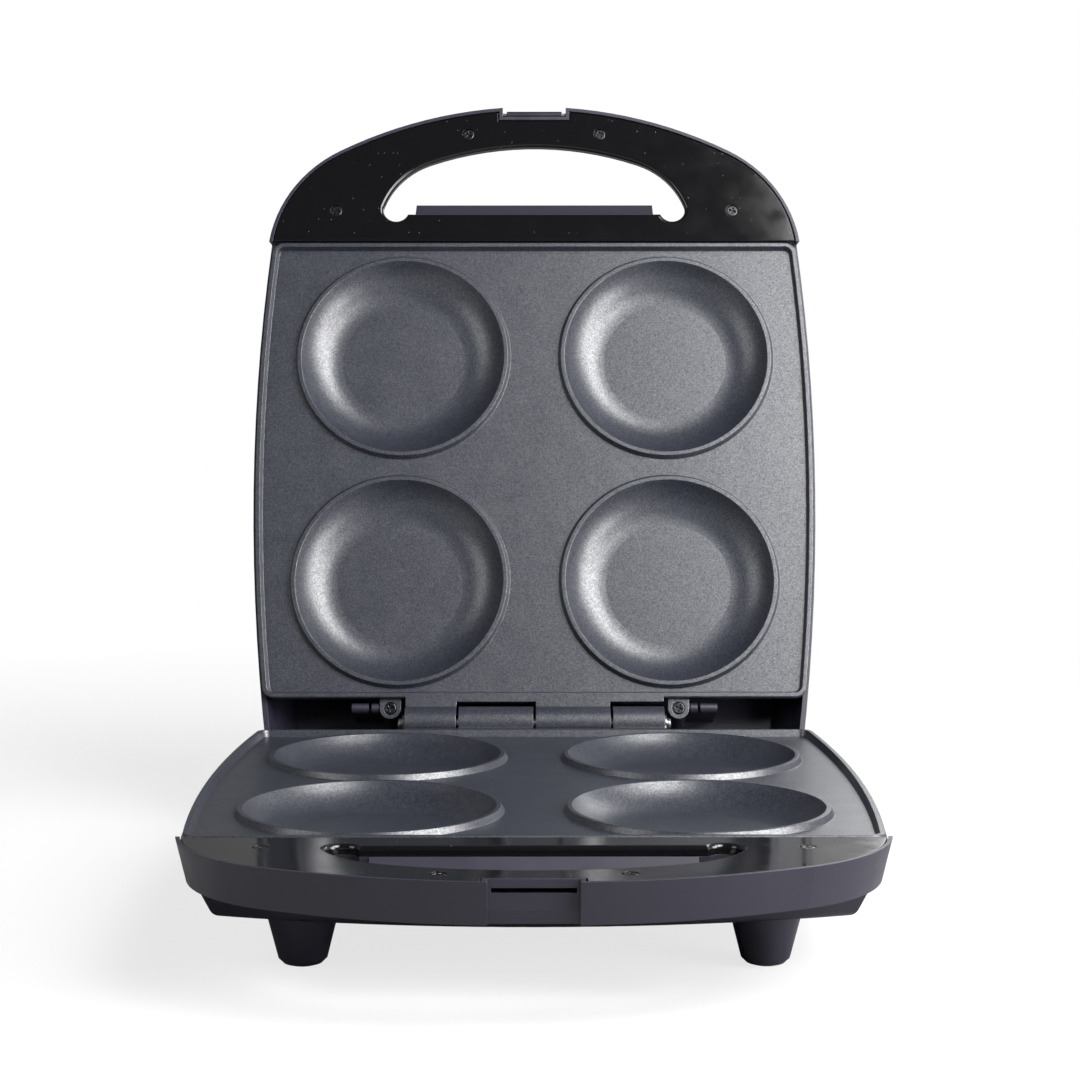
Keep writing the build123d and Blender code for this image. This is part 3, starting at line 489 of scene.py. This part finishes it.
@dataclass(frozen=True)
class CrossScrew:
    """A pan-head screw with a cross recess, standing on z = 0 with its shank below.

    Attributes:
        head_radius: Radius of the head.
        head_height: Height of the head.
        edge_round: Rounding of the head's upper edge.
        shank_radius: Radius of the shank.
        length: Length of the shank.
        tip_chamfer: Width of the chamfer at the shank's end.
        slot_half: Half the width of one arm of the recess.
        slot_reach: How far an arm reaches from the middle.
        slot_depth: Depth of the recess.
        slot_wall: Width over which the recess's walls slope.
        turns: Points round the axis.
        rings: Points from the middle of the head to its rounding.
        bends: Points along the rounding.
    """

    head_radius: float = 2.8 * MM
    head_height: float = 1.2 * MM
    edge_round: float = 0.5 * MM
    shank_radius: float = 1.6 * MM
    length: float = 9.0 * MM
    tip_chamfer: float = 0.4 * MM
    slot_half: float = 0.36 * MM
    slot_reach: float = 1.65 * MM
    slot_depth: float = 0.85 * MM
    slot_wall: float = 0.22 * MM
    turns: int = 96
    rings: int = 30
    bends: int = 8

    def profile(self) -> np.ndarray:
        """Works out the outline, from the head's middle round to the middle of the shank's end.

        It is a flat top, a quarter circle, the side, the underside, the shank and its chamfer.

        Returns:
            The outline's points as rows of radius and height.
        """
        flat = self.head_radius - self.edge_round
        radii = np.linspace(0.0, flat, self.rings)
        top = np.stack([radii, np.full(self.rings, self.head_height)], 1)
        turn = np.linspace(0.0, math.pi / 2, self.bends)[1:]
        low = self.head_height - self.edge_round
        out = self.edge_round * np.stack([np.sin(turn), np.cos(turn)], 1)
        bend = np.array([flat, low]) + out
        rest = np.array([
            [self.head_radius, 0.0],
            [self.shank_radius, 0.0],
            [self.shank_radius, self.tip_chamfer - self.length],
            [self.shank_radius - self.tip_chamfer, -self.length],
            [0.0, -self.length],
        ])
        return np.concatenate([top, bend, rest])

    def recess(self, x: np.ndarray, y: np.ndarray) -> np.ndarray:
        """Works out how deep the recess is at points of the head.

        Of the two distances from the axes, the smaller one is measured against the arm's half
        width and the larger one against its reach. Each gives 1 inside, 0 outside and a smooth
        step over the wall, and the depth is their product times slot_depth.

        Args:
            x: Place across.
            y: Place along.

        Returns:
            The depth at each point.
        """
        across = np.minimum(np.abs(x), np.abs(y))
        along = np.maximum(np.abs(x), np.abs(y))
        shares = [
            np.clip((limit - value) / self.slot_wall + 0.5, 0.0, 1.0)
            for limit, value in ((self.slot_half, across), (self.slot_reach, along))
        ]
        smooth = [share * share * (3 - 2 * share) for share in shares]
        return self.slot_depth * smooth[0] * smooth[1]

    def surface(self) -> tuple[np.ndarray, np.ndarray, np.ndarray]:
        """Works out the closed screw.

        The profile is turned about the axis as a grid over ring and angle. The recess's depth is
        taken off the height of the points on top of the head. The two ends are one vertex each.

        Returns:
            The vertices, the faces with four corners and the faces with three.
        """
        rows = self.profile()
        angle = np.arange(self.turns) * 2 * math.pi / self.turns
        radius, height = rows[1:-1, 0, None], rows[1:-1, 1, None]
        x, y = radius * np.cos(angle), radius * np.sin(angle)
        z = np.broadcast_to(height, x.shape).copy()
        z[: self.rings - 1] -= self.recess(x, y)[: self.rings - 1]
        ends = np.array([[0.0, 0.0, self.head_height - self.slot_depth], [0.0, 0.0, -self.length]])
        vertices = np.concatenate([np.stack([x, y, z], -1).reshape(-1, 3), ends])
        grid = np.arange(radius.size * self.turns).reshape(-1, self.turns)
        ahead = np.roll(grid, -1, axis=1)
        quads = np.stack([grid[:-1], grid[1:], ahead[1:], ahead[:-1]], -1).reshape(-1, 4)
        top = np.stack([np.full(self.turns, grid.size), grid[0], ahead[0]], -1)
        tip = np.stack([np.full(self.turns, grid.size + 1), ahead[-1], grid[-1]], -1)
        return vertices, quads, np.concatenate([top, tip])


@dataclass(frozen=True)
class ScrewSet:
    """Equal screws of one half, standing for a CAD node of plain ones.

    Attributes:
        node: The CAD node.
        half: The half that carries them.
        spots: Places of their axes in the half's frame.
        seat: Height that their heads stand on in the half's frame.
        slot: Slot that their finish is in.
        first_turn: Angle of the first screw's recess.
        turn_step: Further angle of each next one, as hand-driven screws differ.
        sharp: Degrees between faces past which an edge is shaded sharp.
    """

    node: str
    half: Half
    spots: tuple[tuple[float, float], ...]
    seat: float
    slot: Slot = Slot.SCREW
    first_turn: float = 0.35
    turn_step: float = 0.83
    sharp: float = 40.0

    def build(self, screw: CrossScrew, wardrobe: Wardrobe) -> bpy.types.Object:
        """Makes the set as one piece, with a copy of the screw turned and put at each spot.

        Args:
            screw: The screw that is repeated.
            wardrobe: Where the finishes are.

        Returns:
            The piece, riding on the half's body.
        """
        vertices, *shapes = screw.surface()
        turn = self.first_turn + np.arange(len(self.spots)) * self.turn_step
        cosine, sine = np.cos(turn)[:, None], np.sin(turn)[:, None]
        x, y, z = vertices.T
        across, along = np.array(self.spots).T[:, :, None]
        turned = np.stack(
            [
                across + x * cosine - y * sine,
                along + x * sine + y * cosine,
                np.broadcast_to(self.seat + z, (len(self.spots), z.size)),
            ],
            axis=-1,
        )
        first = np.arange(len(self.spots))[:, None, None] * len(vertices)
        faces = [(shape + first).reshape(-1, shape.shape[1]).tolist() for shape in shapes]
        mesh = bpy.data.meshes.new(f"{self.node}_cross")
        mesh.from_pydata(self.half.place(turned.reshape(-1, 3)).tolist(), [], sum(faces, []))
        mesh.polygons.foreach_set("use_smooth", np.ones(len(mesh.polygons), dtype=bool))
        mesh.set_sharp_from_angle(angle=math.radians(self.sharp))
        mesh.materials.append(wardrobe.by_slot[self.slot.value.name])
        piece = bpy.data.objects.new(mesh.name, mesh)
        bpy.context.scene.collection.objects.link(piece)
        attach(piece, self.half.body)
        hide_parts(self.node)
        return piece


@dataclass(frozen=True)
class Screws:
    """All cross-head screws that can be seen.

    Attributes:
        screw: The one screw they all are.
        outer_x: Place across of the outer cover screws.
        outer_y: Their place along, from the plate's hinge-side edge.
        inner_x: Place across of the inner cover screws.
        inner_y: Their place along.
        cover_seat: Height that the cover screws' heads stand on.
        ear_x: Place across of the screws in the plate's ears.
        ear_y: Their place along.
        ear_seat: Height that their heads stand on.
    """

    screw: CrossScrew = CrossScrew()
    outer_x: float = 97.0 * MM
    outer_y: float = 243.8 * MM
    inner_x: float = 32.5 * MM
    inner_y: float = 284.8 * MM
    cover_seat: float = -1.6 * MM
    ear_x: float = 66.7 * MM
    ear_y: float = -4.6 * MM
    ear_seat: float = -3.4 * MM

    def build(self, wardrobe: Wardrobe) -> None:
        """Makes the four sets.

        Args:
            wardrobe: Where the finishes are.
        """
        cover = (
            (-self.outer_x, self.outer_y), (-self.inner_x, self.inner_y),
            (self.inner_x, self.inner_y), (self.outer_x, self.outer_y),
        )
        ears = ((-self.ear_x, self.ear_y), (self.ear_x, self.ear_y))
        for half in (BASE_HALF, LID_HALF):
            for part, spots, seat in (
                ("cover_screws", cover, self.cover_seat),
                ("plate_screws", ears, self.ear_seat),
            ):
                ScrewSet(f"{half.body}_{part}", half, spots, seat).build(self.screw, wardrobe)


@dataclass(frozen=True)
class Lamp:
    """A soft box.

    Attributes:
        name: Name of the lamp.
        towards: Direction from the object to the lamp.
        distance: How far the lamp stands from the object's middle.
        width: Width of the box.
        height: Height of the box.
        power: Power in watts.
        along: Direction that the box's height lies along, as nearly as its aim allows.
    """

    name: str
    towards: tuple[float, float, float]
    distance: float
    width: float
    height: float
    power: float
    along: tuple[float, float, float] = (0.0, 0.363, 0.932)

    def build(self, middle: Vector) -> bpy.types.Object:
        """Makes the lamp, aimed at the object.

        Args:
            middle: Middle of the object.

        Returns:
            The lamp.
        """
        light = bpy.data.lights.new(self.name, "AREA")
        light.shape = "RECTANGLE"
        light.size = self.width
        light.size_y = self.height
        light.energy = self.power
        lamp = bpy.data.objects.new(self.name, light)
        towards = Vector(self.towards).normalized()
        lamp.location = middle + towards * self.distance
        across = Vector(self.along).cross(towards).normalized()
        turned = Matrix((across, towards.cross(across), towards)).transposed()
        lamp.rotation_euler = turned.to_euler()
        bpy.context.scene.collection.objects.link(lamp)
        return lamp


@dataclass(frozen=True)
class Room:
    """White room round the object, dimmer in reflections than to the camera.

    Attributes:
        ambient: Strength of the light that falls from all round.
        front_left: Brightness that shiny surfaces see behind the camera on the left.
        front_right: Brightness that they see behind the camera on the right.
        back_left: Brightness that they see behind the object on the left.
        back_right: Brightness that they see behind the object on the right.
        above: Share of those four that is left straight above.
        front_turn: Sideways span of the direction between left and right in front.
        back_turn: The same behind the object.
        depth_turn: Span along between in front and behind.
        above_turn: Upward span between level and straight above.
    """

    ambient: float = 0.02
    front_left: float = 0.06
    front_right: float = 0.12
    back_left: float = 0.2
    back_right: float = 0.62
    above: float = 0.35
    front_turn: tuple[float, float] = (-0.2, 0.8)
    back_turn: tuple[float, float] = (-0.15, 0.2)
    depth_turn: tuple[float, float] = (-0.3, 0.3)
    above_turn: tuple[float, float] = (0.55, 0.95)

    def build(self) -> None:
        """Makes the world: white to the camera, shaded by direction in reflections."""
        world = bpy.data.worlds.new("room")
        bpy.context.scene.world = world
        shader = Shader(world)
        way = shader.add("SeparateXYZ", {0: shader.add("TexCoord").outputs["Generated"]})
        across, along, up = (way.outputs[name] for name in "XYZ")
        front = shader.spread(across, *self.front_turn, self.front_left, self.front_right)
        back = shader.spread(across, *self.back_turn, self.back_left, self.back_right)
        depth = shader.spread(along, *self.depth_turn, 0.0, 1.0)
        level = shader.add("Mix", {0: depth, 2: front, 3: back}).outputs[0]
        above = shader.spread(up, *self.above_turn, 1.0, self.above)
        seen = shader.math("MULTIPLY", level, above)
        path = shader.add("LightPath")
        keys = {0: shader.mirrored(path), 2: self.ambient, 3: seen}
        other = shader.add("Mix", keys).outputs[0]
        strength = shader.add("Mix", {0: path.outputs["Is Camera Ray"], 2: other, 3: 1.0})
        light = shader.add("Background", {"Color": WHITE, "Strength": strength.outputs[0]})
        shader.add("OutputWorld", {"Surface": light.outputs[0]})


@dataclass(frozen=True)
class Floor:
    """Pale floor that keeps the object's shadow and fades into the white room.

    Attributes:
        half: Half the side of the floor.
        colour: Grey value that the camera sees where the floor is lit.
        bounce: Grey value with which it lights the object from below.
        white: Share of plain white near the object.
        fade_from: Distance at which the fading starts.
        fade_to: Distance at which the floor is all white.
        mirror_painted_white: Share of plain white that reflections of the floor show, painted light added to the
            lit floor.
        painted_shade_from: Distance from the middle under which they show none of it, a painted contact shadow.
        painted_shade_to: Distance from which they show all of it.
    """

    half: float = 6.0
    colour: float = 0.85
    bounce: float = 0.3
    white: float = 0.75
    fade_from: float = 0.35
    fade_to: float = 0.8
    # Painted light: reflections see the floor glow white away from the object, with painted contact shade close to
    # it.
    mirror_painted_white: float = 0.45
    painted_shade_from: float = 0.18
    painted_shade_to: float = 0.34

    def build(self) -> bpy.types.Object:
        """Makes the floor.

        Returns:
            The floor's object.
        """
        mesh = bpy.data.meshes.new("floor")
        corners = [(-self.half, -self.half, 0), (self.half, -self.half, 0),
                   (self.half, self.half, 0), (-self.half, self.half, 0)]
        mesh.from_pydata(corners, [], [(0, 1, 2, 3)])
        floor = bpy.data.objects.new("floor", mesh)
        bpy.context.scene.collection.objects.link(floor)
        material = bpy.data.materials.new("floor")
        shader = Shader(material)
        away = shader.add("VectorMath", {0: shader.place()}, operation="LENGTH").outputs[1]
        plain = shader.spread(away, self.fade_from, self.fade_to, self.white, 1.0)
        path = shader.add("LightPath")
        seen = path.outputs["Is Camera Ray"]
        # Painted white light for reflections of the floor: none close to the object, which paints a contact shadow
        # there, rising further out.
        near = shader.spread(away, self.painted_shade_from, self.painted_shade_to, 0.0, self.mirror_painted_white)
        to_camera = shader.math("MULTIPLY", plain, seen)
        painted_white_in_mirrors = shader.math("MULTIPLY", near, shader.mirrored(path))
        share = shader.math("ADD", to_camera, painted_white_in_mirrors)
        bounce, colour = ((grey, grey, grey, 1.0) for grey in (self.bounce, self.colour))
        tone = shader.mix(seen, bounce, colour)
        lit = shader.add("BsdfDiffuse", {"Color": tone})
        white = shader.add("Emission", {"Color": WHITE, "Strength": 1.0})
        both = shader.add("MixShader", {0: share, 1: lit.outputs[0], 2: white.outputs[0]})
        shader.add("OutputMaterial", {"Surface": both.outputs[0]})
        mesh.materials.append(material)
        floor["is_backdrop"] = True
        return floor


@dataclass(frozen=True)
class Viewpoint:
    """The photograph's camera.

    Attributes:
        place: Where it stands, from the middle of the hinge-side edge of the base's plate.
        tilt_down: Degrees that it looks below the horizon.
        turn: Degrees that it is turned about the vertical.
        roll: Degrees that it is rolled.
        lens: Focal length in millimetres on the sensor below.
        sensor: Width of the sensor in millimetres.
        nearest: Distance from which it sees anything.
        farthest: Distance up to which it sees.
    """

    place: tuple[float, float, float] = (0.9 * MM, -1079 * MM, 185.5 * MM)
    tilt_down: float = 5.244
    turn: float = -0.09
    roll: float = -0.03
    lens: float = 79.88
    sensor: float = 36.0
    nearest: float = 0.05
    farthest: float = 30.0

    def build(self, edge: Vector) -> bpy.types.Object:
        """Makes the camera and makes it the scene's own.

        Args:
            edge: Middle of the hinge-side edge of the base's plate.

        Returns:
            The camera.
        """
        data = bpy.data.cameras.new("camera")
        data.lens = self.lens
        data.sensor_width = self.sensor
        data.clip_start = self.nearest
        data.clip_end = self.farthest
        camera = bpy.data.objects.new("camera", data)
        camera.location = edge + Vector(self.place)
        turns = (90 - self.tilt_down, -self.roll, self.turn)
        camera.rotation_euler = Euler(tuple(math.radians(t) for t in turns), "XYZ")
        bpy.context.scene.collection.objects.link(camera)
        bpy.context.scene.camera = camera
        return camera


@dataclass(frozen=True)
class Studio:
    """Lamps, room, floor and camera.

    Attributes:
        lamps: The soft boxes.
        room: What surrounds the object.
        floor: What it stands on.
        viewpoint: The camera.
    """

    lamps: tuple[Lamp, ...]
    room: Room = Room()
    floor: Floor = Floor()
    viewpoint: Viewpoint = Viewpoint()

    def build(self, middle: Vector, edge: Vector) -> None:
        """Makes everything that is not the object.

        Args:
            middle: Middle of the object.
            edge: Middle of the hinge-side edge of the base's plate.
        """
        for lamp in self.lamps:
            lamp.build(middle)
        self.room.build()
        self.floor.build()
        self.viewpoint.build(edge)
        settings = bpy.context.scene.view_settings
        settings.view_transform = "Standard"


STUDIO = Studio(
    lamps=(
        Lamp("upper_right_box", (0.60, -0.45, 0.66), 1.00, 0.50, 0.80, 10.5),
        Lamp("upper_box", (0.45, -0.60, 0.66), 1.00, 0.40, 0.80, 9.8),
        Lamp("low_right_box", (0.84, -0.46, 0.08), 0.80, 0.40, 1.00, 14.5),
        Lamp("left_box", (-0.78, -0.48, 0.40), 1.20, 0.60, 0.80, 4.4),
        Lamp("back_box", (0.45, 0.75, 0.35), 1.20, 0.80, 0.50, 4.5),
    )
)


def main() -> None:
    """Makes the looks, then sets up the studio round the middle of the object's bounds."""
    logging.basicConfig(level=logging.WARNING)
    wardrobe = Wardrobe()
    wardrobe.dress(frame["nodes"], frame["record"]["subparts"])
    Screws().build(wardrobe)
    low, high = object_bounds()
    edge = Vector(BASE_HALF.place(np.zeros(3)))
    STUDIO.build((low + high) / 2, edge)


if __name__ == "__main__":
    main()
